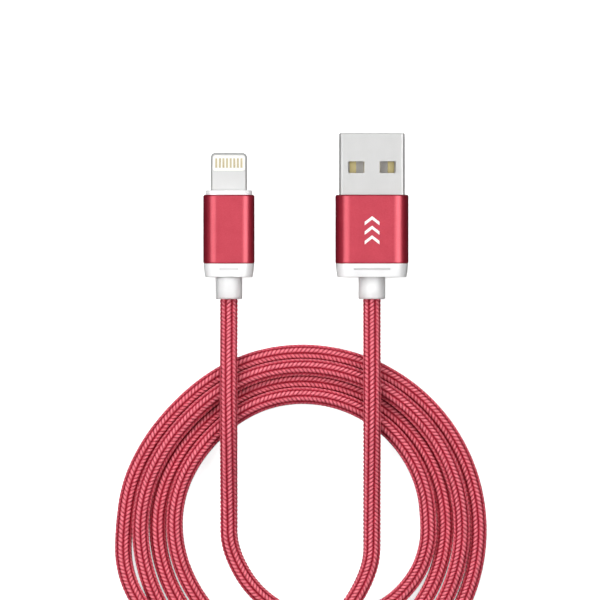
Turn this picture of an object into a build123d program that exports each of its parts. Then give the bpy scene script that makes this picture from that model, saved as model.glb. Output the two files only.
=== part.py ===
from build123d import *
import os
from dataclasses import dataclass
from math import radians, tan

# Charging cable: a USB-A plug and a reversible 8-pin plug on one braided cord.
# The cable lies on a table with +Z up, and both plugs point along +Y. The origin is on the table,
# midway between the outer sides of the two plugs and midway between the USB tip and the cord exits.
# All sizes are in millimetres.

# ---------------------------------------------------------------- driving dimensions
cord_diameter = 3.3
jacket_diameter = 2.5
fit_gap = 0.05
press_gap = 0.02

# stations along both plugs, from the front of the metal sleeve back to the cord exit
sleeve_front = 3.8
sleeve_length = 12.6
sleeve_edge = 0.2
collar_length = 2.5
collar_band = 1.0
collar_insets = (0.1, 0.3, 0.7)
collar_fillet = 0.15
groove_width = 0.3
neck_length = 4.0
neck_diameter = 4.9
neck_fillet = 0.25
neck_socket_depth = 1.5
flange_length = 0.9
flange_share = (0.75, 0.78)
flange_corner = 0.8
crimp_length = 1.4
crimp_wall = 0.3
wire_diameter = 0.6
bundle_offset = 0.4
bundle_run = 0.5
solder_margin = 0.2

sleeve_rear = sleeve_front - sleeve_length
collar_rear = sleeve_rear - collar_length
neck_end = collar_rear - neck_length
cord_start = neck_end + neck_socket_depth
mold_rear = sleeve_rear + flange_length
jacket_front = mold_rear + crimp_length

# USB-A plug
shell_width = 12.0
shell_height = 4.5
shell_wall = 0.3
shell_corner = 0.65
shell_reach = 11.3
shell_embedded = 6.5
shell_lead_in = 0.12
window_width = 3.0
window_length = 2.15
window_spacing = 5.8
window_setback = 5.16
window_corner = 0.15
seam_width = 0.08
tongue_width = 11.3
tongue_thickness = 1.9
tongue_setback = 0.6
tongue_length = 14.6
mouth_depth = 9.2
tongue_edge = 0.2
strip_thickness = 0.2
strip_proud = 0.08
strip_tail = 1.6
strip_edge = 0.12
usb_mold_setback = 0.3
usb_wire_cavity = (9.0, 2.6)
usb_tip = sleeve_front + shell_reach
shell_rear = sleeve_front - shell_embedded
tongue_front = usb_tip - tongue_setback
tongue_rear = tongue_front - tongue_length
strip_rear = tongue_rear - strip_tail
# name, distance from the plug's middle, width, setback from the front of the tongue
usb_strips = (
    ("power", -3.5, 1.2, 0.6),
    ("data_minus", -1.0, 1.0, 1.6),
    ("data_plus", 1.0, 1.0, 1.6),
    ("ground", 3.5, 1.2, 0.6),
)

# 8-pin plug
tab_width = 6.7
tab_thickness = 1.5
tab_reach = 6.9
tab_embedded = 3.5
tab_corner = 0.9
tab_edge = 0.35
lip_length = 0.85
lip_inset = 0.8
lip_fillet = 0.25
pocket_width = 5.9
pocket_length = 2.9
pocket_setback = 0.45
pocket_corner = 0.5
pin_count = 8
pin_pitch = 0.66
pin_width = 0.38
pin_length = 1.75
pin_sink = 0.04
pin_corner = 0.12
board_width = 5.3
board_thickness = 0.6
board_length = 13.6
board_setback = 0.3
can_width = 6.5
can_height = 2.9
can_wall = 0.15
can_corner = 0.3
can_length = 4.6
can_gap = 0.1
chip_width = 2.4
chip_length = 1.8
chip_height = 0.45
chip_edge = 0.06
part_offset = 0.6
capacitor_count = 3
capacitor_size = (0.5, 0.9, 0.4)
pad_spacing = 1.1
pad_overlap = 0.9
phone_wire_cavity = (4.6, 2.4)
tab_tip = sleeve_front + lip_length + tab_reach
tab_root = sleeve_front + lip_length - tab_embedded
board_front = tab_tip - pocket_setback - board_setback
board_rear = board_front - board_length
can_front = tab_root - can_gap
can_rear = can_front - can_length

# coil: four turns between two circles, closer together than they are thick except at the far side,
# so every other turn rides up on its neighbours: most at the plugs' side, and not at all at the far side
turn_inner_centre = (-0.78, -56.35)
turn_inner_radius = 23.36
turn_outer_centre = (-0.91, -57.75)
turn_outer_radius = 32.6
turn_rise = 2.05
side_rise = 1.15
flat_share = 0.6
coil_rounding = 1.0
lead_slot_width = 4.5
table_gap = 0.05
lying = cord_diameter / 2 + table_gap


@dataclass
class Plug:
    """What differs between the two ends of the cable."""

    name: str
    x: float
    width: float
    height: float
    corner: float
    inner_corner: float
    groove_length: float
    groove_depth: float
    wall: float = 0.6

    @property
    def z(self):
        return self.height / 2

    @property
    def bore(self):
        """Width, height and corner radius of the inside of the sleeve."""
        return self.width - 2 * self.wall, self.height - 2 * self.wall, self.inner_corner

    @property
    def filling(self):
        """The same for a piece that fits inside the sleeve."""
        width, height, corner = self.bore
        return width - 2 * fit_gap, height - 2 * fit_gap, corner - fit_gap

    @property
    def flange(self):
        """The same for the flange that anchors the strain relief."""
        width, height, _ = self.bore
        return flange_share[0] * width, flange_share[1] * height, flange_corner


usb = Plug(
    "usb", x=12.12, width=13.4, height=7.0, corner=2.7, inner_corner=1.5, groove_length=6.7, groove_depth=0.5
)
phone = Plug(
    "phone", x=-14.12, width=9.4, height=6.0, corner=2.4, inner_corner=1.7, groove_length=3.4, groove_depth=0.25
)

os.makedirs("parts", exist_ok=True)


def save(solid, name):
    """Label one finished piece and write its STEP file."""
    solid.label = name
    export_step(solid, f"parts/{name}.step")


def section(plug, y, across=0.0, rise=0.0):
    """Cross-section plane of a plug at y, facing back towards the cord."""
    return Plane(origin=(plug.x + across, y, plug.z + rise), x_dir=(1, 0, 0), z_dir=(0, -1, 0))


def level(plug, y, rise):
    """Horizontal plane of a plug at a height above its middle, with its origin at y."""
    return Plane(origin=(plug.x, y, plug.z + rise), x_dir=(1, 0, 0), z_dir=(0, 0, 1))


# ---------------------------------------------------------------- pieces that both plugs have
def make_sleeve(plug):
    """Anodised aluminium tube around the plug's body."""
    with BuildPart() as sleeve:
        with BuildSketch(section(plug, sleeve_front)):
            RectangleRounded(plug.width, plug.height, plug.corner)
        extrude(amount=sleeve_length)
        chamfer(sleeve.faces().filter_by(Axis.Y).edges(), length=sleeve_edge)
        with BuildSketch(section(plug, sleeve_front)):
            RectangleRounded(*plug.bore)
        extrude(amount=sleeve_length, mode=Mode.SUBTRACT)
    save(sleeve.part, f"{plug.name}_sleeve")


def make_collar(plug):
    """White end cap: a near-straight band, a bevelled face behind it, and a spigot in the sleeve.
    A moulded groove crosses the middle of each wide face where the band ends."""
    rings = tuple(zip((0.0, collar_band, collar_length), collar_insets))
    with BuildPart() as collar:
        for (near, near_inset), (far, far_inset) in zip(rings, rings[1:]):
            for depth, inset in ((near, near_inset), (far, far_inset)):
                with BuildSketch(section(plug, sleeve_rear - depth)):
                    RectangleRounded(plug.width - inset, plug.height - inset, plug.corner - inset / 2)
            loft()
        fillet(collar.faces().sort_by(Axis.Y)[0].edges(), radius=collar_fillet)
        with BuildSketch(section(plug, mold_rear)):
            RectangleRounded(*plug.filling)
        extrude(amount=flange_length)
        with BuildSketch(section(plug, mold_rear)):
            RectangleRounded(*plug.flange)
        extrude(amount=flange_length, mode=Mode.SUBTRACT)
        with BuildSketch(section(plug, sleeve_rear)):
            Circle(neck_diameter / 2)
        extrude(amount=collar_length, mode=Mode.SUBTRACT)
        groove_floor = (plug.height - collar_insets[1]) / 2 - plug.groove_depth
        for side in (1, -1):
            with BuildSketch(level(plug, sleeve_rear - collar_band, side * groove_floor)):
                RectangleRounded(plug.groove_length, groove_width, groove_width / 3)
            extrude(amount=side * 2 * plug.groove_depth, mode=Mode.SUBTRACT)
    save(collar.part, f"{plug.name}_collar")


def make_strain_relief(plug):
    """Flexible neck on the cord, held by a flange between the body and the collar."""
    with BuildPart() as neck:
        with BuildSketch(section(plug, sleeve_rear)):
            Circle(neck_diameter / 2)
        extrude(amount=collar_length + neck_length)
        fillet(neck.faces().sort_by(Axis.Y)[0].edges(), radius=neck_fillet)
        with BuildSketch(section(plug, mold_rear)):
            RectangleRounded(*plug.flange)
        extrude(amount=flange_length)
        with BuildSketch(section(plug, mold_rear)):
            Circle(jacket_diameter / 2)
        extrude(amount=mold_rear - cord_start, mode=Mode.SUBTRACT)
        with BuildSketch(section(plug, cord_start)):
            Circle(cord_diameter / 2 + fit_gap)
        extrude(amount=neck_socket_depth, mode=Mode.SUBTRACT)
    save(neck.part, f"{plug.name}_strain_relief")


def make_cable_jacket(plug):
    """The cord's inner jacket, stripped of its braid where it runs through the strain relief."""
    with BuildPart() as jacket:
        with BuildSketch(section(plug, jacket_front)):
            Circle(jacket_diameter / 2)
        extrude(amount=jacket_front - cord_start)
    save(jacket.part, f"{plug.name}_cable_jacket")


def make_crimp_ring(plug):
    """Metal ring crimped on the jacket, which takes the pull of the cord."""
    with BuildPart() as ring:
        with BuildSketch(section(plug, jacket_front)):
            Circle(jacket_diameter / 2 + crimp_wall)
            Circle(jacket_diameter / 2, mode=Mode.SUBTRACT)
        extrude(amount=crimp_length)
    save(ring.part, f"{plug.name}_crimp_ring")


def make_wire(plug, name, start, solder_run, place):
    """One insulated wire from its solder joint to its place in the bundle at the jacket."""
    start_x, start_y, start_rise = start
    across, up = place
    points = (
        (plug.x + start_x, start_y, plug.z + start_rise),
        (plug.x + start_x, start_y - solder_run, plug.z + start_rise),
        (plug.x + across, jacket_front + bundle_run, plug.z + up),
        (plug.x + across, jacket_front, plug.z + up),
    )
    with BuildPart() as wire:
        with BuildLine() as path:
            FilletPolyline(*points, radius=wire_diameter)
        with BuildSketch(Plane(origin=path.line @ 0, z_dir=path.line % 0)):
            Circle(wire_diameter / 2)
        sweep()
    save(wire.part, f"{plug.name}_wire_{name}")


bundle_places = {
    "power": (-bundle_offset, bundle_offset),
    "data_minus": (-bundle_offset, -bundle_offset),
    "data_plus": (bundle_offset, -bundle_offset),
    "ground": (bundle_offset, bundle_offset),
}

for end in (usb, phone):
    make_sleeve(end)
    make_collar(end)
    make_strain_relief(end)
    make_cable_jacket(end)
    make_crimp_ring(end)

# ---------------------------------------------------------------- USB-A plug
# steel shell: a folded box, open in front, with two latch windows in each wide face and a seam below
with BuildPart() as usb_shell:
    with BuildSketch(section(usb, usb_tip)):
        RectangleRounded(shell_width, shell_height, shell_corner)
    extrude(amount=shell_reach + shell_embedded)
    chamfer(usb_shell.faces().sort_by(Axis.Y)[-1].edges(), length=shell_lead_in)
    with BuildSketch(section(usb, usb_tip)):
        RectangleRounded(
            shell_width - 2 * shell_wall, shell_height - 2 * shell_wall, shell_corner - shell_wall
        )
    extrude(amount=shell_reach + shell_embedded, mode=Mode.SUBTRACT)
    with BuildSketch(level(usb, usb_tip - window_setback - window_length / 2, 0)):
        with GridLocations(window_spacing, 1, 2, 1):
            RectangleRounded(window_width, window_length, window_corner)
    extrude(amount=shell_height, both=True, mode=Mode.SUBTRACT)
    with BuildSketch(level(usb, (usb_tip + shell_rear) / 2, -shell_height / 2)):
        Rectangle(seam_width, shell_reach + shell_embedded)
    extrude(amount=shell_wall / 2, mode=Mode.SUBTRACT)
save(usb_shell.part, "usb_shell")

# tongue: the insulator that fills the lower half of the mouth and all of the shell behind it
shell_floor = shell_wall - shell_height / 2
tongue_top = shell_floor + tongue_thickness
strip_rise = tongue_top + strip_proud - strip_thickness / 2
with BuildPart() as usb_tongue:
    with BuildSketch(section(usb, tongue_front)):
        RectangleRounded(tongue_width, shell_height - 2 * shell_wall, shell_corner - shell_wall)
    extrude(amount=tongue_length)
    with BuildSketch(section(usb, tongue_front, rise=tongue_top + shell_height / 2)):
        Rectangle(tongue_width, shell_height)
    extrude(amount=mouth_depth - tongue_setback, mode=Mode.SUBTRACT)
    chamfer(usb_tongue.faces().sort_by(Axis.Y)[-1].edges().sort_by(Axis.Z)[-1], length=tongue_edge)
    for _, across, width, setback in usb_strips:
        strip_front = tongue_front - setback
        with BuildSketch(section(usb, strip_front, across, strip_rise)):
            Rectangle(width, strip_thickness)
        extrude(amount=strip_front - tongue_rear, mode=Mode.SUBTRACT)
save(usb_tongue.part, "usb_tongue")

for strip_name, across, width, setback in usb_strips:
    strip_front = tongue_front - setback
    with BuildPart() as strip:
        with BuildSketch(section(usb, strip_front, across, strip_rise)):
            Rectangle(width, strip_thickness)
        extrude(amount=strip_front - strip_rear)
        chamfer(strip.faces().sort_by(Axis.Y)[-1].edges().sort_by(Axis.Z)[-1], length=strip_edge)
    save(strip.part, f"usb_contact_{strip_name}")

wire_rise = strip_rise + strip_thickness / 2 + wire_diameter / 2
for strip_name, across, _, _ in usb_strips:
    solder_joint = (across, tongue_rear - fit_gap, wire_rise)
    make_wire(usb, strip_name, solder_joint, strip_tail + solder_margin, bundle_places[strip_name])

# body: white moulding inside the sleeve, hollow where the shell, the wires and the crimp ring sit
with BuildPart() as usb_inner_mold:
    mold_front = sleeve_front - usb_mold_setback
    with BuildSketch(section(usb, mold_front)):
        RectangleRounded(*usb.filling)
    extrude(amount=mold_front - mold_rear)
    with BuildSketch(section(usb, mold_front)):
        RectangleRounded(shell_width + 2 * press_gap, shell_height + 2 * press_gap, shell_corner)
    extrude(amount=mold_front - shell_rear, mode=Mode.SUBTRACT)
    with BuildSketch(section(usb, shell_rear)):
        Rectangle(*usb_wire_cavity)
    extrude(amount=shell_rear - jacket_front, mode=Mode.SUBTRACT)
    with BuildSketch(section(usb, jacket_front)):
        Circle(jacket_diameter / 2 + crimp_wall)
    extrude(amount=crimp_length, mode=Mode.SUBTRACT)
save(usb_inner_mold.part, "usb_inner_mold")

# ---------------------------------------------------------------- 8-pin plug
# tab frame: one steel tongue with a pocket through it for the contacts and a slot for the board
pocket_middle = tab_tip - pocket_setback - pocket_length / 2
with BuildPart() as phone_tab_frame:
    with BuildSketch(level(phone, (tab_tip + tab_root) / 2, -tab_thickness / 2)):
        Rectangle(tab_width, tab_reach + tab_embedded)
    extrude(amount=tab_thickness)
    fillet(phone_tab_frame.edges().filter_by(Axis.Z).group_by(Axis.Y)[-1], radius=tab_corner)
    chamfer(phone_tab_frame.edges().filter_by(Axis.Y), length=tab_edge)
    with BuildSketch(level(phone, pocket_middle, 0)):
        RectangleRounded(pocket_width, pocket_length, pocket_corner)
    extrude(amount=tab_thickness, both=True, mode=Mode.SUBTRACT)
    with BuildSketch(section(phone, pocket_middle)):
        Rectangle(board_width + 2 * fit_gap, board_thickness + 2 * fit_gap)
    extrude(amount=pocket_middle - tab_root, mode=Mode.SUBTRACT)
save(phone_tab_frame.part, "phone_tab_frame")

# contacts: eight on each face, standing on the board and let into the carrier
pin_height = tab_thickness / 2 - board_thickness / 2 - pin_sink
pin_middle = tab_tip - pocket_setback - (pocket_length - pin_length) / 2 - pin_length / 2

with BuildPart() as phone_contact_carrier:
    with BuildSketch(level(phone, pocket_middle, 0)):
        RectangleRounded(pocket_width - 2 * press_gap, pocket_length - 2 * press_gap, pocket_corner)
    extrude(amount=tab_thickness / 2 - pin_sink / 2, both=True)
    with BuildSketch(section(phone, board_front)):
        Rectangle(board_width, board_thickness)
    extrude(amount=pocket_length, mode=Mode.SUBTRACT)
    with BuildSketch(level(phone, pin_middle, 0)):
        with GridLocations(pin_pitch, 1, pin_count, 1):
            Rectangle(pin_width, pin_length)
    extrude(amount=tab_thickness, both=True, mode=Mode.SUBTRACT)
save(phone_contact_carrier.part, "phone_contact_carrier")

for face_name, side in (("top", 1), ("bottom", -1)):
    for index in range(pin_count):
        across = (index - (pin_count - 1) / 2) * pin_pitch
        pad_plane = level(phone, pin_middle, side * board_thickness / 2)
        with BuildPart() as pin:
            with BuildSketch(pad_plane):
                with Locations((across, 0)):
                    RectangleRounded(pin_width, pin_length, pin_corner)
            extrude(amount=side * pin_height)
        save(pin.part, f"phone_contact_{face_name}_{index + 1}")

# board: circuit board with a charge chip above it and a row of capacitors below it
with BuildPart() as phone_circuit_board:
    with BuildSketch(section(phone, board_front)):
        Rectangle(board_width, board_thickness)
    extrude(amount=board_length)
save(phone_circuit_board.part, "phone_circuit_board")

part_row = (can_front + board_rear) / 2 + part_offset
with BuildPart() as phone_charge_chip:
    with BuildSketch(level(phone, part_row, board_thickness / 2)):
        Rectangle(chip_width, chip_length)
    extrude(amount=chip_height)
    chamfer(phone_charge_chip.faces().sort_by(Axis.Z)[-1].edges(), length=chip_edge)
save(phone_charge_chip.part, "phone_charge_chip")

capacitor_width, capacitor_length, capacitor_height = capacitor_size
with BuildPart() as phone_capacitors:
    with BuildSketch(level(phone, part_row, -board_thickness / 2)):
        with GridLocations(2.5 * capacitor_width, 1, capacitor_count, 1):
            Rectangle(capacitor_width, capacitor_length)
    extrude(amount=-capacitor_height)
save(phone_capacitors.part, "phone_capacitors")

# shield can: thin steel box around the board, open at both ends
with BuildPart() as phone_shield_can:
    with BuildSketch(section(phone, can_front)):
        RectangleRounded(can_width, can_height, can_corner)
        RectangleRounded(
            can_width - 2 * can_wall, can_height - 2 * can_wall, can_corner - can_wall, mode=Mode.SUBTRACT
        )
    extrude(amount=can_length)
save(phone_shield_can.part, "phone_shield_can")

for index, wire_name in enumerate(("power", "data_minus", "data_plus", "ground")):
    across = (index - 1.5) * pad_spacing
    solder_joint = (across, board_rear + pad_overlap, board_thickness / 2 + wire_diameter / 2)
    make_wire(phone, wire_name, solder_joint, pad_overlap + solder_margin, bundle_places[wire_name])

# body: white moulding with the lip that shows in front of the sleeve
with BuildPart() as phone_inner_mold:
    with BuildSketch(section(phone, sleeve_front + lip_length)):
        RectangleRounded(phone.width - lip_inset, phone.height - lip_inset, phone.corner - lip_inset / 2)
    extrude(amount=lip_length)
    fillet(phone_inner_mold.faces().sort_by(Axis.Y)[-1].edges(), radius=lip_fillet)
    with BuildSketch(section(phone, sleeve_front)):
        RectangleRounded(*phone.filling)
    extrude(amount=sleeve_front - mold_rear)
    with BuildSketch(section(phone, sleeve_front + lip_length)):
        Rectangle(tab_width + 2 * press_gap, tab_thickness + 2 * press_gap)
    extrude(amount=tab_embedded, mode=Mode.SUBTRACT)
    with BuildSketch(section(phone, tab_root)):
        RectangleRounded(can_width + 2 * press_gap, can_height + 2 * press_gap, can_corner)
    extrude(amount=tab_root - can_rear, mode=Mode.SUBTRACT)
    with BuildSketch(section(phone, can_rear)):
        Rectangle(*phone_wire_cavity)
    extrude(amount=can_rear - jacket_front, mode=Mode.SUBTRACT)
    with BuildSketch(section(phone, jacket_front)):
        Circle(jacket_diameter / 2 + crimp_wall)
    extrude(amount=crimp_length, mode=Mode.SUBTRACT)
save(phone_inner_mold.part, "phone_inner_mold")

# ---------------------------------------------------------------- cord
# coil: the outer shape of the four turns, with a slot where each lead joins its end turn
inner_x, inner_y = turn_inner_centre
outer_x, outer_y = turn_outer_centre
coil_outer_radius = turn_outer_radius + cord_diameter / 2
coil_inner_radius = turn_inner_radius - cord_diameter / 2
coil_top = cord_diameter + turn_rise
slot_reach = 5 * cord_diameter
with BuildPart() as cord_coil:
    with BuildSketch():
        with Locations(turn_outer_centre):
            Circle(coil_outer_radius)
        with Locations(turn_inner_centre):
            Circle(coil_inner_radius, mode=Mode.SUBTRACT)
    extrude(amount=coil_top)
    with BuildSketch(Plane.YZ.offset(outer_x)):
        with BuildLine():
            Polyline(
                (outer_y - coil_outer_radius, 0),
                (outer_y + coil_outer_radius, 0),
                (outer_y + coil_outer_radius, cord_diameter),
                (outer_y + coil_outer_radius - cord_diameter, coil_top),
                (outer_y, cord_diameter + side_rise),
                (outer_y - flat_share * coil_outer_radius, cord_diameter),
                (outer_y - coil_outer_radius, cord_diameter),
                close=True,
            )
        make_face()
    extrude(amount=coil_outer_radius, both=True, mode=Mode.INTERSECT)
    chamfer(cord_coil.faces().sort_by(Axis.Z)[0].edges(), length=coil_rounding)
    with BuildSketch():
        with Locations(turn_inner_centre):
            Circle(turn_inner_radius + lead_slot_width / 2)
            Circle(coil_inner_radius - 1, mode=Mode.SUBTRACT)
        with Locations((inner_x + coil_outer_radius / 2, inner_y - coil_outer_radius / 2)):
            Rectangle(coil_outer_radius, coil_outer_radius, mode=Mode.INTERSECT)
    extrude(amount=coil_top, mode=Mode.SUBTRACT)
    with BuildSketch():
        with Locations(turn_outer_centre):
            Circle(coil_outer_radius + 1)
            Circle(turn_outer_radius - lead_slot_width / 2, mode=Mode.SUBTRACT)
        with Locations((outer_x - coil_outer_radius, outer_y - slot_reach / 2)):
            Rectangle(coil_outer_radius, slot_reach, mode=Mode.INTERSECT)
    extrude(amount=coil_top, mode=Mode.SUBTRACT)
save(cord_coil.part, "cord_coil")

# routes of the two leads, each from its neck to the end turn of the coil
phone_route = [
    (phone.x, cord_start, phone.z),
    (phone.x, -17.6, phone.z),
    (phone.x, -21.6, phone.z + 1.0),
    (phone.x, -26.2, 7.2),
    (phone.x, -31.0, 8.3),
    (phone.x, -38.0, 8.3),
    (phone.x, -43.0, 6.9),
    (phone.x, -48.8, 4.0),
    (phone.x, -54.6, 2.1),
    (phone.x, -61.3, lying),
    (-9.3, -69.7, lying),
    (-0.8, -74.6, lying),
    (9.0, -74.6, lying),
    (16.3, -71.2, lying),
    (20.9, -66.0, lying),
    (inner_x + turn_inner_radius, -60.6, lying),
    (inner_x + turn_inner_radius, inner_y, lying),
]
usb_route = [
    (usb.x, cord_start, usb.z),
    (usb.x, -17.6, usb.z),
    (usb.x, -21.6, usb.z + 0.9),
    (usb.x, -26.2, 7.2),
    (usb.x, -31.0, 8.3),
    (usb.x, -38.0, 8.3),
    (usb.x, -43.2, 6.9),
    (usb.x, -49.4, 4.6),
    (usb.x, -57.0, 3.4),
    (usb.x, -65.0, 4.3),
    (6.0, -74.9, 6.1),
    (-4.7, -80.9, 6.2),
    (-17.0, -80.9, 6.2),
    (-26.0, -76.2, 6.2),
    (-31.0, -70.6, 4.9),
    (outer_x - turn_outer_radius, -64.4, lying),
    (outer_x - turn_outer_radius, outer_y, lying),
]


def corner_radii(points):
    """Radius of the arc at each corner of a route, as large as its two runs allow."""
    corners = [Vector(*point) for point in points]
    radii = []
    for before, corner, after in zip(corners, corners[1:], corners[2:]):
        into = corner - before
        out = after - corner
        half_turn = radians(into.get_angle(out)) / 2
        radii.append(0.45 * min(into.length, out.length) / tan(half_turn))
    return radii


for lead_name, route in (("cord_lead_phone", phone_route), ("cord_lead_usb", usb_route)):
    radii = corner_radii(route)
    with BuildPart() as lead:
        with BuildLine() as path:
            FilletPolyline(*route, radius=radii)
        with BuildSketch(Plane(origin=path.line @ 0, z_dir=path.line % 0)) as bore:
            Circle(cord_diameter / 2)
        sweep()
    save(lead.part, lead_name)
    lead_length = path.wires()[0].length
    expected = bore.sketch.area * lead_length
    print(lead_name, "length", round(lead_length, 1), "radii", [round(radius, 1) for radius in radii])
    print(lead_name, "volume", round(lead.part.volume, 1), "expected", round(expected, 1))
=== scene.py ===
import math

import bmesh
import bpy
import numpy as np
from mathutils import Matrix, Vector


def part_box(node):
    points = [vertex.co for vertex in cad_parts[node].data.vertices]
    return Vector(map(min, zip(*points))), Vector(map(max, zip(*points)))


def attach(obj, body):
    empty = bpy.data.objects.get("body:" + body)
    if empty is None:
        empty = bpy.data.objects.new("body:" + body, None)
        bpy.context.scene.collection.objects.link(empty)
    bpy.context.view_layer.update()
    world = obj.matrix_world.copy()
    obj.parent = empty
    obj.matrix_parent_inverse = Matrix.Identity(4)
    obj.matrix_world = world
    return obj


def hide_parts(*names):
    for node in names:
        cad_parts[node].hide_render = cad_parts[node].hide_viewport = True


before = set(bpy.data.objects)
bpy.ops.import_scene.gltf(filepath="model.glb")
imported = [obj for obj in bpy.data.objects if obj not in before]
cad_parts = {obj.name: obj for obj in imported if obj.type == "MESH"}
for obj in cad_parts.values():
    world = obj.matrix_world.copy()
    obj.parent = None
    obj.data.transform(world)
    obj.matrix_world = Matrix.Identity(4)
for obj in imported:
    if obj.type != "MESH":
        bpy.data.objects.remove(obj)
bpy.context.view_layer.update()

MM = 0.001
scene = bpy.context.scene
scene.view_settings.view_transform = "Standard"

# The frame's pieces get their materials here. The cord's three simple CAD pieces give way to one
# spline with a braid laid along it, and the USB sleeve gets its printed mark.

# ---- Places from the frame, and the cord's route: metres, and angles in degrees ----

usb_low, usb_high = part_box("usb_sleeve")
phone_low, phone_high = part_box("phone_sleeve")
usb_x = (usb_low[0] + usb_high[0]) / 2
phone_x = (phone_low[0] + phone_high[0]) / 2
usb_z = (usb_low[2] + usb_high[2]) / 2
phone_z = (phone_low[2] + phone_high[2]) / 2
cord_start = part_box("cord_lead_phone")[1][1]

cord_diameter = 3.3 * MM
# The height of the cord's middle line where it lies on the table.
lying = 1.7 * MM

# The coil's turns grow from the inner one to the outer one. The cord moves out by one gap in each
# turn, in a sidestep between two angles. Every other turn rides up on its neighbours at the plugs'
# side. The coil's control points are one step apart, up to its whole angle.
turn_inner_centre = (-0.78 * MM, -56.35 * MM)
turn_inner_radius = 23.36 * MM
turn_outer_centre = (-0.91 * MM, -57.75 * MM)
turn_outer_radius = 32.6 * MM
turn_gaps = 3
coil_angle = 1260
coil_step = 15
sidestep_start = 200
sidestep_end = 340
turn_rise = 2.05 * MM
rise_power = 0.45
flat_share = 0.6
# The turns are a little flattened round one angle, the outer ones more.
dent_angle = 137
dent_spread = 24
dent_inner = 0.6 * MM
dent_outer = 1.0 * MM

# Each lead's route from its plug to the coil: over the turns that it crosses, and down to the one
# that it joins, which is the inner turn for the phone lead and the outer one for the USB lead.
phone_route = [
    (phone_x, cord_start, phone_z),
    (phone_x, -0.0176, phone_z),
    (phone_x, -0.0216, 0.0040),
    (phone_x, -0.0262, 0.0061),
    (phone_x, -0.0310, 0.00715),
    (phone_x, -0.0380, 0.00715),
    (phone_x, -0.0430, 0.0059),
    (phone_x, -0.0488, 0.0036),
    (phone_x, -0.0546, 0.0021),
    (phone_x, -0.0613, lying),
    (-0.0093, -0.0697, lying),
    (-0.0008, -0.0746, lying),
    (0.0090, -0.0746, lying),
    (0.0161, -0.0711, lying),
    (0.0206, -0.0659, 0.0023),
    (0.02242, -0.0606, 0.0028),
    (0.02258, -0.05635, 0.0030),
]

usb_route = [
    (usb_x, cord_start, usb_z),
    (usb_x, -0.0176, usb_z),
    (usb_x, -0.0216, 0.0043),
    (usb_x, -0.0262, 0.0062),
    (usb_x, -0.0310, 0.00715),
    (usb_x, -0.0380, 0.00715),
    (usb_x, -0.0432, 0.0060),
    (usb_x, -0.0494, 0.0043),
    (usb_x, -0.0570, 0.0032),
    (usb_x, -0.0650, 0.0039),
    (0.0060, -0.0749, 0.0053),
    (-0.0047, -0.0809, 0.0054),
    (-0.0170, -0.0809, 0.0054),
    (-0.0260, -0.0762, 0.0055),
    (-0.0310, -0.0706, 0.0044),
    (-0.03351, -0.0644, lying),
    (-0.03351, -0.05775, lying),
]


def smooth(share):
    """From 0 to 1, slow at both ends."""
    share = min(max(share, 0), 1)
    return share * share * (3 - 2 * share)


def between(low, high, share):
    return low + (high - low) * share


# ---- Camera: straight down on the cable, as a shop picture of it is taken ----

view_width = 110.1 * MM
view_middle = (-1.07 * MM, -15.47 * MM)
view_height = 1.5
sensor_width = 36


def make_camera():
    data = bpy.data.cameras.new("camera")
    data.sensor_width = sensor_width
    data.lens = sensor_width * view_height / view_width
    data.clip_start = 0.01
    camera = bpy.data.objects.new("camera", data)
    camera.location = (*view_middle, view_height + phone_z)
    scene.collection.objects.link(camera)
    scene.camera = camera


# ---- The cord: one spline from plug to plug, with its braid laid along it ----

core_radius = 1.18 * MM
# Points of the line that are closer than this are one point.
same_point = 0.0001 * MM

# The braid has as many strands as carriers each way round. A lay is the length that a strand takes
# to go round once, and the wave is how far it rises and dives as it goes over and under the others.
braid_carriers = 8
braid_lay = 6.2 * MM
braid_wave = 0.2 * MM
braid_sharpness = 0.8
braid_samples_per_lay = 30
braid_step = braid_lay / braid_samples_per_lay
strand_width = 0.68 * MM
strand_thickness = 0.28 * MM
braid_radius = cord_diameter / 2 - braid_wave - strand_thickness / 2
# A strand is a flat bundle of yarn: across it and up, as shares of its width and thickness.
strand_profile = [(-0.5, 0.0), (-0.37, 0.66), (-0.19, 0.9), (0, 1.0), (0.19, 0.9), (0.37, 0.66), (0.5, 0.0)]

# The braid's columns are level on both leads, and rolled by an angle on the coil. The roll starts
# and is complete at these distances from each end of the cord.
coil_roll = -22
phone_roll_start = 20 * MM
phone_roll_end = 60 * MM
usb_roll_start = 20 * MM
usb_roll_end = 70 * MM

# The braid is one piece on each lead, and a few on the coil.
phone_lead_length = 102 * MM
usb_lead_length = 118 * MM
coil_pieces = 4


def ride_up(angle):
    """How high a turn is lifted at an angle: most at the plugs' side, and not at the far one."""
    share = max(0, (math.sin(math.radians(angle)) + flat_share) / (1 + flat_share))
    return turn_rise * share**rise_power


def coil_point(angle):
    """A control point of the coil's turns, by its angle along them in degrees."""
    turn = (angle - sidestep_end + 360) // 360
    around = angle - 360 * turn
    sidestep = smooth((around - sidestep_start) / (sidestep_end - sidestep_start))
    share = (turn + sidestep) / turn_gaps
    dent = math.exp(-(((around - dent_angle) / dent_spread) ** 2)) * between(dent_inner, dent_outer, share)
    radius = between(turn_inner_radius, turn_outer_radius, share) - dent
    # The spline runs inside its control points, and touches the middle of each line between two.
    radius /= math.cos(math.radians(coil_step / 2))
    x = between(turn_inner_centre[0], turn_outer_centre[0], share) + radius * math.cos(math.radians(angle))
    y = between(turn_inner_centre[1], turn_outer_centre[1], share) + radius * math.sin(math.radians(angle))
    lifted = sidestep if turn % 2 else 1 - sidestep
    return x, y, lying + lifted * ride_up(angle)


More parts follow.
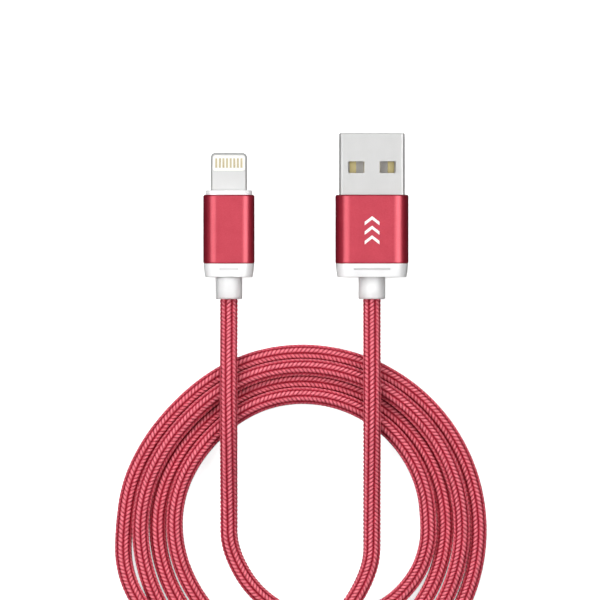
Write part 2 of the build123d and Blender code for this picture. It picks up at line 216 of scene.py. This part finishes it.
def make_core():
    """The cord under its braid, on the spline that everything else along the cord follows."""
    turns = [coil_point(angle) for angle in range(coil_step, coil_angle, coil_step)]
    points = phone_route + turns + usb_route[::-1]
    data = bpy.data.curves.new("cord_core", "CURVE")
    data.dimensions = "3D"
    spline = data.splines.new("NURBS")
    spline.points.add(len(points) - 1)
    for place, point in zip(spline.points, points):
        place.co = (*point, 1)
    spline.order_u = 3
    spline.use_endpoint_u = True
    spline.resolution_u = 12
    data.bevel_depth = core_radius
    data.bevel_resolution = 4
    data.use_fill_caps = True
    core = bpy.data.objects.new("cord_core", data)
    scene.collection.objects.link(core)
    return core


def read_line(core):
    """The points of the core's spline, as Blender gives them for the curve without its bevel."""
    bare = core.copy()
    bare.data = core.data.copy()
    bare.data.bevel_depth = 0
    mesh = bpy.data.meshes.new_from_object(bare)
    line = np.zeros(len(mesh.vertices) * 3)
    mesh.vertices.foreach_get("co", line)
    bpy.data.meshes.remove(mesh)
    bpy.data.curves.remove(bare.data)
    return line.reshape(-1, 3)


def unit(vectors):
    return vectors / np.linalg.norm(vectors, axis=1, keepdims=True)


class Along:
    """Places and directions at any distance along the cord."""

    def __init__(self, line):
        steps = np.linalg.norm(np.diff(line, axis=0), axis=1)
        keep = np.concatenate([[True], steps > same_point])
        self.line = line[keep]
        steps = np.linalg.norm(np.diff(self.line, axis=0), axis=1)
        self.at = np.concatenate([[0], np.cumsum(steps)])
        self.length = self.at[-1]
        forward = unit(np.gradient(self.line, self.at, axis=0))
        up = np.array([0, 0, 1.0])
        self.up = unit(up - forward * forward[:, 2:3])
        self.side = np.cross(forward, self.up)

    def read(self, table, distance):
        return np.stack([np.interp(distance, self.at, table[:, axis]) for axis in range(3)], axis=-1)

    def surface(self, distance, angle, radius):
        """Points that far from the line, at an angle from its upper side."""
        outward = self.read(self.up, distance) * np.cos(angle)[..., None]
        outward = outward + self.read(self.side, distance) * np.sin(angle)[..., None]
        return self.read(self.line, distance) + outward * radius[..., None]


def braid_turned(along, distance):
    """How far the braid's columns are turned round the cord, at distances along it."""
    phone_end = [0, phone_roll_start, phone_roll_end]
    usb_end = [along.length - usb_roll_end, along.length - usb_roll_start, along.length]
    turned = [0, 0, coil_roll, coil_roll, 0, 0]
    return np.radians(np.interp(distance, phone_end + usb_end, turned))


def strand_points(along, base, carrier, way):
    """One strand's points, how far each is lifted, and their UV coordinates.

    The middle of the strand passes each distance in base, and winds one way (1) or the other (-1).
    U counts the lays along it. V is the share of the way across it, added to the strand's number.
    """
    lean = math.atan2(2 * math.pi * braid_radius, braid_lay)
    across = np.array([p[0] for p in strand_profile]) * strand_width
    height = np.array([p[1] for p in strand_profile]) * strand_thickness
    start = 2 * math.pi * (carrier + (0.5 if way > 0 else 0)) / braid_carriers
    distance = base[:, None] - way * across[None, :] * math.sin(lean)
    turn = start + way * 2 * math.pi * base[:, None] / braid_lay
    angle = turn + across[None, :] * math.cos(lean) / braid_radius
    wave = np.tanh(braid_sharpness * np.cos(braid_carriers / 2 * angle)) / math.tanh(braid_sharpness)
    radius = braid_radius + way * braid_wave * wave - strand_thickness / 2 + height[None, :]
    points = along.surface(distance, angle + braid_turned(along, distance), radius)
    run = np.broadcast_to(base[:, None] / braid_lay, distance.shape)
    share = np.broadcast_to(across[None, :] / strand_width + 0.5, distance.shape)
    coordinates = np.stack([run, share + carrier + braid_carriers * (way < 0)], axis=-1)
    return points, way * wave, coordinates


def strand_faces(strands, rings):
    """Four vertex numbers for each face of that many strands, each a tube of that many rings."""
    wide = len(strand_profile)
    row, column = np.meshgrid(np.arange(rings - 1), np.arange(wide), indexing="ij")
    corner = row * wide + column
    beside = row * wide + (column + 1) % wide
    quads = np.stack([corner, beside, beside + wide, corner + wide], axis=-1).reshape(-1, 4)
    return (np.arange(strands)[:, None, None] * rings * wide + quads[None]).reshape(-1, 4)


def close_ends(mesh):
    """Fill each strand's two open ends, and turn all faces outward."""
    work = bmesh.new()
    work.from_mesh(mesh)
    bmesh.ops.holes_fill(work, edges=[e for e in work.edges if e.is_boundary], sides=len(strand_profile))
    bmesh.ops.recalc_face_normals(work, faces=work.faces)
    work.to_mesh(mesh)
    work.free()


def make_braid(name, along, first, last):
    """The braid's strands over one stretch of the cord, from sample to sample."""
    base = np.clip(np.arange(first, last + 1) * braid_step, 0, along.length)
    carried = [(carrier, way) for way in (1, -1) for carrier in range(braid_carriers)]
    strands = [strand_points(along, base, carrier, way) for carrier, way in carried]
    points, lifts, coordinates = (np.concatenate(parts) for parts in zip(*strands))
    faces = strand_faces(len(strands), len(base))
    mesh = bpy.data.meshes.new(name)
    mesh.vertices.add(lifts.size)
    mesh.vertices.foreach_set("co", points.ravel())
    mesh.loops.add(faces.size)
    mesh.loops.foreach_set("vertex_index", faces.ravel())
    mesh.polygons.add(len(faces))
    mesh.polygons.foreach_set("loop_start", np.arange(len(faces)) * 4)
    mesh.polygons.foreach_set("use_smooth", np.ones(len(faces), bool))
    layer = mesh.uv_layers.new(name="strand")
    layer.data.foreach_set("uv", coordinates.reshape(-1, 2)[faces.ravel()].ravel())
    lift = mesh.attributes.new("lift", "FLOAT", "POINT")
    lift.data.foreach_set("value", lifts.ravel())
    mesh.update(calc_edges=True)
    mesh.validate()
    close_ends(mesh)
    braid = bpy.data.objects.new(name, mesh)
    scene.collection.objects.link(braid)
    return braid


# ---- Materials ----


class Shader:
    """A material's node tree, with a method for each kind of node that the materials share."""

    # A Mix node has sockets for each type of data. These are the places of the ones for colours.
    mix_inputs = (6, 7)
    mix_output = 2

    def __init__(self, name, **values):
        """The values go to the surface's sockets, each named in small letters and underscores."""
        self.material = bpy.data.materials.new(name)
        self.material.use_nodes = True
        self.tree = self.material.node_tree
        self.surface = self.tree.nodes["Principled BSDF"]
        for socket, value in values.items():
            self.surface.inputs[socket.replace("_", " ").title().replace("Ior", "IOR")].default_value = value

    def node(self, kind, **settings):
        made = self.tree.nodes.new("ShaderNode" + kind)
        for key, value in settings.items():
            setattr(made, key, value)
        return made

    def link(self, output, target):
        self.tree.links.new(output, target)

    def place(self, stretch=(1, 1, 1)):
        """The object's own coordinates, in metres, stretched."""
        mapping = self.node("Mapping")
        mapping.inputs["Scale"].default_value = stretch
        self.link(self.node("TexCoord").outputs["Object"], mapping.inputs["Vector"])
        return mapping.outputs["Vector"]

    def noise(self, scale, detail=3, roughness=0.5, where=None):
        """Soft blotches, that many to a metre."""
        made = self.node("TexNoise")
        made.inputs["Scale"].default_value = scale
        made.inputs["Detail"].default_value = detail
        made.inputs["Roughness"].default_value = roughness
        self.link(where or self.place(), made.inputs["Vector"])
        return made.outputs["Fac"]

    def spread(self, source, low, high, from_low=0.3, from_high=0.7):
        """A value carried from one range to another. The first one's defaults suit noise."""
        made = self.node("MapRange")
        made.inputs["From Min"].default_value = from_low
        made.inputs["From Max"].default_value = from_high
        made.inputs["To Min"].default_value = low
        made.inputs["To Max"].default_value = high
        self.link(source, made.inputs["Value"])
        return made.outputs["Result"]

    def blend(self, factor, first, second):
        """From the first colour to the second, each given as numbers or as another node's output."""
        made = self.node("Mix", data_type="RGBA")
        self.link(factor, made.inputs["Factor"])
        for socket, value in zip(self.mix_inputs, (first, second)):
            if isinstance(value, bpy.types.NodeSocket):
                self.link(value, made.inputs[socket])
            else:
                made.inputs[socket].default_value = (*value, 1)
        return made.outputs[self.mix_output]

    def reckon(self, operation, first, second=0):
        made = self.node("Math", operation=operation)
        for socket, value in enumerate((first, second)):
            if isinstance(value, bpy.types.NodeSocket):
                self.link(value, made.inputs[socket])
            else:
                made.inputs[socket].default_value = value
        return made.outputs[0]

    def bump(self, height, depth, strength=1.0):
        made = self.node("Bump")
        made.inputs["Strength"].default_value = strength
        made.inputs["Distance"].default_value = depth
        self.link(height, made.inputs["Height"])
        self.link(made.outputs["Normal"], self.surface.inputs["Normal"])

    def colour(self, output):
        self.link(output, self.surface.inputs["Base Color"])

    def rough(self, output):
        self.link(output, self.surface.inputs["Roughness"])


def shade(colour, factor):
    """The colour made darker or lighter by a factor."""
    return tuple(min(1.0, c * factor) for c in colour)


def braid_material():
    """Nylon yarn with fine filaments along each strand; painted highlight on crests, painted shade in dives.
    """
    filaments = 15
    filament_wander = 0.1
    dark_filament, light_filament = (0.43, 0.011, 0.035), (0.59, 0.025, 0.060)
    deep_dye = (0.36, 0.006, 0.024)
    painted_crest_highlight = (0.97, 0.26, 0.32)
    painted_dive_shade = (0.13, 0.0, 0.006)
    made = Shader("nylon_braid", sheen_weight=0.06, sheen_roughness=0.4, specular_ior_level=0.2)
    made.surface.inputs["Sheen Tint"].default_value = (1.0, 0.55, 0.6, 1)
    strand = made.node("SeparateXYZ")
    made.link(made.node("UVMap", uv_map="strand").outputs["UV"], strand.inputs["Vector"])
    across = strand.outputs["Y"]
    drift = made.noise(900, detail=2)
    wandering = made.reckon("ADD", across, made.reckon("MULTIPLY", drift, filament_wander))
    filament = made.reckon("SINE", made.reckon("MULTIPLY", wandering, 2 * math.pi * filaments))
    fine = made.spread(filament, 0, 1, -1, 1)
    light = made.blend(fine, dark_filament, light_filament)
    dyed = made.blend(made.spread(made.noise(260, detail=4), 0, 0.35), light, deep_dye)
    # Lift is 1 on a crest and -1 in a dive. Inward is 0 at a strand's edges and 0.5 in its middle.
    lift = made.node("Attribute", attribute_name="lift").outputs["Fac"]
    inward = made.reckon("PINGPONG", across, 0.5)
    # Painted highlight: crests are blended towards a pale pink, most along the middle of a strand.
    raised = made.spread(lift, 0, 0.9, 0.3, 1.0)
    crest = made.reckon("MULTIPLY", raised, made.spread(inward, 0.3, 1, 0.1, 0.36))
    # Painted shade: where a strand dives under the others, and at its edges, its colour is blended towards a
    # near black red.
    surfaced = made.spread(lift, 0, 1, -0.25, 0.6)
    clear_of_painted_shade = made.reckon("MULTIPLY", surfaced, made.spread(inward, 0.4, 1, 0.02, 0.14))
    made.colour(made.blend(clear_of_painted_shade, painted_dive_shade, made.blend(crest, dyed, painted_crest_highlight)))
    made.rough(made.reckon("ADD", made.spread(lift, 0.6, 0, -0.1, 0.7), made.spread(drift, 0.28, 0.38)))
    made.bump(fine, 0.006 * MM, 0.6)
    return made.material


def core_material():
    """The dark filling that shows between the braid's strands."""
    dark, light = (0.06, 0.003, 0.007), (0.11, 0.006, 0.014)
    made = Shader("cord_core", roughness=0.9, specular_ior_level=0.05)
    made.colour(made.blend(made.spread(made.noise(2000), 0, 1), dark, light))
    return made.material


def anodised_material():
    """Bead-blasted aluminium, dyed red."""
    dark, light = (0.352, 0.011, 0.031), (0.436, 0.025, 0.050)
    made = Shader("anodised_red", metallic=0.6, coat_weight=0.8, coat_roughness=0.27, specular_ior_level=0.3)
    blast = made.noise(5200, detail=3, roughness=0.6)
    broad = made.noise(420, detail=3)
    speckle = made.reckon("ADD", made.spread(blast, 0, 0.65), made.spread(broad, 0, 0.35))
    made.colour(made.blend(speckle, dark, light))
    made.rough(made.spread(blast, 0.34, 0.46))
    made.bump(blast, 0.01 * MM, 0.5)
    return made.material


def plastic_material(name, colour, roughness, grain=2600, depth=0.004 * MM, crevice=None, **values):
    """Moulded plastic, with painted shade down in its own grooves when they are as narrow as crevice."""
    painted_crevice_shade = 0.78
    made = Shader(name, **values)
    made.surface.inputs["Subsurface Radius"].default_value = (1, 1, 1)
    fine = made.noise(grain, detail=3)
    broad = made.noise(300, detail=2)
    plain = made.blend(made.spread(broad, 0, 1), shade(colour, 0.965), shade(colour, 1.02))
    if crevice:
        # Painted shade: an occlusion test darkens the colour where the piece's own surfaces close over it.
        open_sky = made.node("AmbientOcclusion", only_local=True, samples=8)
        open_sky.inputs["Distance"].default_value = crevice
        openness = made.spread(open_sky.outputs["AO"], 0, 1, 0.35, 0.8)
        plain = made.blend(openness, shade(colour, painted_crevice_shade), plain)
    made.colour(plain)
    made.rough(made.spread(fine, roughness - 0.05, roughness + 0.05))
    made.bump(fine, depth, 0.5)
    return made.material


def metal_material(name, colour, roughness, along=(1, 0.06, 1), grain=5000, metallic=1.0):
    """Plated metal, with the faint drawing lines of the strip that it's stamped from."""
    made = Shader(name, metallic=metallic)
    drawn = made.noise(grain, detail=4, where=made.place(along))
    broad = made.noise(350, detail=2)
    made.colour(made.blend(made.spread(broad, 0, 1), shade(colour, 0.98), shade(colour, 1.02)))
    made.rough(made.spread(drawn, roughness - 0.04, roughness + 0.05))
    made.bump(drawn, 0.001 * MM, 0.4)
    return made.material


def board_material():
    """Solder mask over copper: green, with the buried tracks showing as lighter lines."""
    dark, light, track = (0.01, 0.12, 0.045), (0.02, 0.16, 0.06), (0.03, 0.22, 0.08)
    made = Shader("board_green", coat_weight=0.4, coat_roughness=0.15)
    tracks = made.node("TexBrick", offset=0.35)
    made.link(made.place((1100, 700, 1)), tracks.inputs["Vector"])
    tracks.inputs["Scale"].default_value = 1
    tracks.inputs["Mortar Size"].default_value = 0.08
    grain = made.spread(made.noise(3000), 0, 0.2)
    made.colour(made.blend(tracks.outputs["Fac"], made.blend(grain, dark, light), track))
    made.surface.inputs["Roughness"].default_value = 0.4
    return made.material


def print_material():
    """White ink, a little uneven."""
    dark, light = (0.83, 0.83, 0.84), (0.92, 0.92, 0.93)
    made = Shader("white_print")
    grain = made.noise(4000)
    made.colour(made.blend(made.spread(grain, 0, 1), dark, light))
    made.rough(made.spread(grain, 0.45, 0.6))
    return made.material


def paint(name, material):
    """Give one of the frame's pieces a material."""
    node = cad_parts[name]
    if not node.material_slots:
        node.data.materials.append(None)
    for place in node.material_slots:
        place.link = "OBJECT"
        place.material = material


def paint_frame():
    """Give every piece of the frame its material, except the cord's, which give way to the braid."""
    firm = {"subsurface_weight": 0.1, "subsurface_scale": 0.3 * MM, "coat_weight": 0.15}
    soft = {"subsurface_weight": 0.9, "subsurface_scale": 2.5 * MM}
    white_shell = plastic_material("white_shell", (0.87, 0.87, 0.873), 0.32, crevice=0.5 * MM, **firm)
    white_flex = plastic_material("white_flex", (0.96, 0.96, 0.963), 0.45, **soft)
    steel = metal_material("plated_steel", (0.455, 0.455, 0.452), 0.42, metallic=0.6)
    gold = metal_material("contact_gold", (0.38, 0.32, 0.16), 0.34)
    pale_gold = metal_material("pin_gold", (0.48, 0.42, 0.27), 0.3)
    wires = {
        "power": plastic_material("wire_red", (0.55, 0.02, 0.02), 0.4),
        "data_minus": plastic_material("wire_white", (0.80, 0.80, 0.78), 0.4),
        "data_plus": plastic_material("wire_green", (0.02, 0.30, 0.06), 0.4),
        "ground": plastic_material("wire_black", (0.02, 0.02, 0.02), 0.4),
    }
    by_ending = {
        "_sleeve": anodised_material(),
        "_collar": white_shell,
        "_inner_mold": white_shell,
        "_strain_relief": white_flex,
        "_cable_jacket": plastic_material("jacket_grey", (0.35, 0.35, 0.36), 0.5),
        "_crimp_ring": steel,
        "usb_shell": steel,
        "_tab_frame": metal_material("tab_steel", (0.52, 0.52, 0.517), 0.42, metallic=0.35),
        "_shield_can": steel,
        "_tongue": plastic_material("tongue_plastic", (0.68, 0.65, 0.61), 0.5),
        "_contact_carrier": plastic_material("contact_carrier", (0.87, 0.86, 0.81), 0.4),
        "_board": board_material(),
        "_chip": plastic_material("chip_black", (0.02, 0.02, 0.022), 0.55),
    }
    capacitor = plastic_material("capacitor_tan", (0.45, 0.30, 0.18), 0.5)
    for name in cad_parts:
        ending = next((e for e in by_ending if name.endswith(e)), None)
        wire = next((w for w in wires if name.endswith("wire_" + w)), None)
        if ending:
            paint(name, by_ending[ending])
        elif wire:
            paint(name, wires[wire])
        elif name.startswith("phone_contact_"):
            paint(name, pale_gold)
        elif name.startswith("usb_contact_"):
            paint(name, gold)
        elif "_capacitor" in name:
            paint(name, capacitor)


# ---- The mark printed on the USB sleeve: three plain chevrons that point at the tip ----

mark_width = 2.7 * MM
mark_stroke = 0.62 * MM
mark_pitch = 1.75 * MM
mark_point = 1.05 * MM
mark_count = 3
mark_middle = -2.7 * MM
mark_thickness = 0.02 * MM


def make_mark():
    work = bmesh.new()
    for number in range(mark_count):
        middle = mark_middle + (number - (mark_count - 1) / 2) * mark_pitch
        side, tip = mark_width / 2, mark_point / 2
        upper_edge = [(-side, -tip), (0, tip), (side, -tip)]
        outline = upper_edge + [(x, y - mark_stroke) for x, y in reversed(upper_edge)]
        corners = [work.verts.new((usb_x + x, middle + mark_stroke / 2 + y, usb_high[2])) for x, y in outline]
        last = len(corners) - 1
        for left, right in ((0, 1), (1, 2)):
            work.faces.new([corners[left], corners[right], corners[last - right], corners[last - left]])
    lifted = bmesh.ops.extrude_face_region(work, geom=work.faces[:])
    tops = [v for v in lifted["geom"] if isinstance(v, bmesh.types.BMVert)]
    bmesh.ops.translate(work, verts=tops, vec=(0, 0, mark_thickness))
    bmesh.ops.recalc_face_normals(work, faces=work.faces)
    mesh = bpy.data.meshes.new("usb_direction_mark")
    work.to_mesh(mesh)
    work.free()
    mark = bpy.data.objects.new("usb_direction_mark", mesh)
    scene.collection.objects.link(mark)
    mark.data.materials.append(print_material())
    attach(mark, "root")


# ---- Floor and light ----

lit_middle = Vector((0, -0.035, 0))
floor_reach = 3.0


def soft_box(name, bright, width, height, place):
    """A flat lamp that faces the middle of the cable, at a place measured from there."""
    data = bpy.data.lights.new(name, "AREA")
    data.shape = "RECTANGLE"
    data.size = width
    data.size_y = height
    data.energy = bright * math.pi * width * height
    light = bpy.data.objects.new(name, data)
    light.location = lit_middle + Vector(place)
    light.rotation_euler = (-Vector(place)).to_track_quat("-Z", "Y").to_euler()
    scene.collection.objects.link(light)
    return light


def make_floor():
    """A softly lit white table, which neither shows in the plugs nor throws light on them."""
    low, high = -floor_reach, floor_reach
    corners = [(low, low, 0), (high, low, 0), (high, high, 0), (low, high, 0)]
    mesh = bpy.data.meshes.new("floor")
    mesh.from_pydata(corners, [], [(0, 1, 2, 3)])
    floor = bpy.data.objects.new("floor", mesh)
    scene.collection.objects.link(floor)
    made = Shader("lit_acrylic", roughness=0.7)
    made.surface.inputs["Base Color"].default_value = (0.9, 0.9, 0.9, 1)
    made.surface.inputs["Emission Color"].default_value = (1, 1, 1, 1)
    made.surface.inputs["Emission Strength"].default_value = 0.75
    floor.data.materials.append(made.material)
    floor.visible_diffuse = False
    floor.visible_glossy = False


def make_world():
    """A dim room above, and darkness below the table's edge."""
    world = bpy.data.worlds.new("room")
    world.use_nodes = True
    nodes, links = world.node_tree.nodes, world.node_tree.links
    height = nodes.new("ShaderNodeSeparateXYZ")
    links.new(nodes.new("ShaderNodeTexCoord").outputs["Generated"], height.inputs["Vector"])
    ramp = nodes.new("ShaderNodeMapRange")
    ramp.inputs["From Min"].default_value = -0.1
    ramp.inputs["From Max"].default_value = 0.35
    ramp.inputs["To Min"].default_value = 0.02
    ramp.inputs["To Max"].default_value = 0.12
    links.new(height.outputs["Z"], ramp.inputs["Value"])
    links.new(ramp.outputs["Result"], nodes["Background"].inputs["Strength"])
    nodes["Background"].inputs["Color"].default_value = (1, 1, 1, 1)
    scene.world = world


def light_scene():
    """Lamps round the cable and above it, some of which add only plain light or only shine."""
    make_world()
    soft_box("overhead", bright=0.76, width=1.2, height=1.2, place=(0, 0, 1.9))
    left = soft_box("left", bright=5.7, width=0.34, height=0.5, place=(-0.44, 0.06, 0.54))
    left.visible_glossy = False
    left_gloss = soft_box("left_gloss", bright=3.7, width=0.42, height=0.5, place=(-0.35, 0.05, 0.6))
    left_gloss.visible_diffuse = False
    soft_box("right", bright=3.0, width=0.34, height=0.5, place=(0.44, 0.03, 0.54))
    right_gloss = soft_box("right_gloss", bright=2.6, width=0.42, height=0.5, place=(0.37, 0.05, 0.59))
    right_gloss.visible_diffuse = False
    soft_box("top", bright=5.0, width=0.5, height=0.28, place=(0, 0.5, 0.42))


# ---- Putting it together ----

make_camera()
core = make_core()
along = Along(read_line(core))
core.data.materials.append(core_material())
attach(core, "root")
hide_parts("cord_coil", "cord_lead_phone", "cord_lead_usb")

samples = math.ceil(along.length / braid_step)
phone_cut = round(phone_lead_length / braid_step)
usb_cut = samples - round(usb_lead_length / braid_step)
coil_cuts = [round(between(phone_cut, usb_cut, k / coil_pieces)) for k in range(coil_pieces + 1)]
cuts = [0, *coil_cuts, samples]
names = ["braid_phone_lead"] + [f"braid_coil_{k + 1}" for k in range(coil_pieces)] + ["braid_usb_lead"]
nylon = braid_material()
for name, first, last in zip(names, cuts, cuts[1:]):
    braid = make_braid(name, along, first, last)
    braid.data.materials.append(nylon)
    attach(braid, "root")

paint_frame()
make_mark()
make_floor()
light_scene()
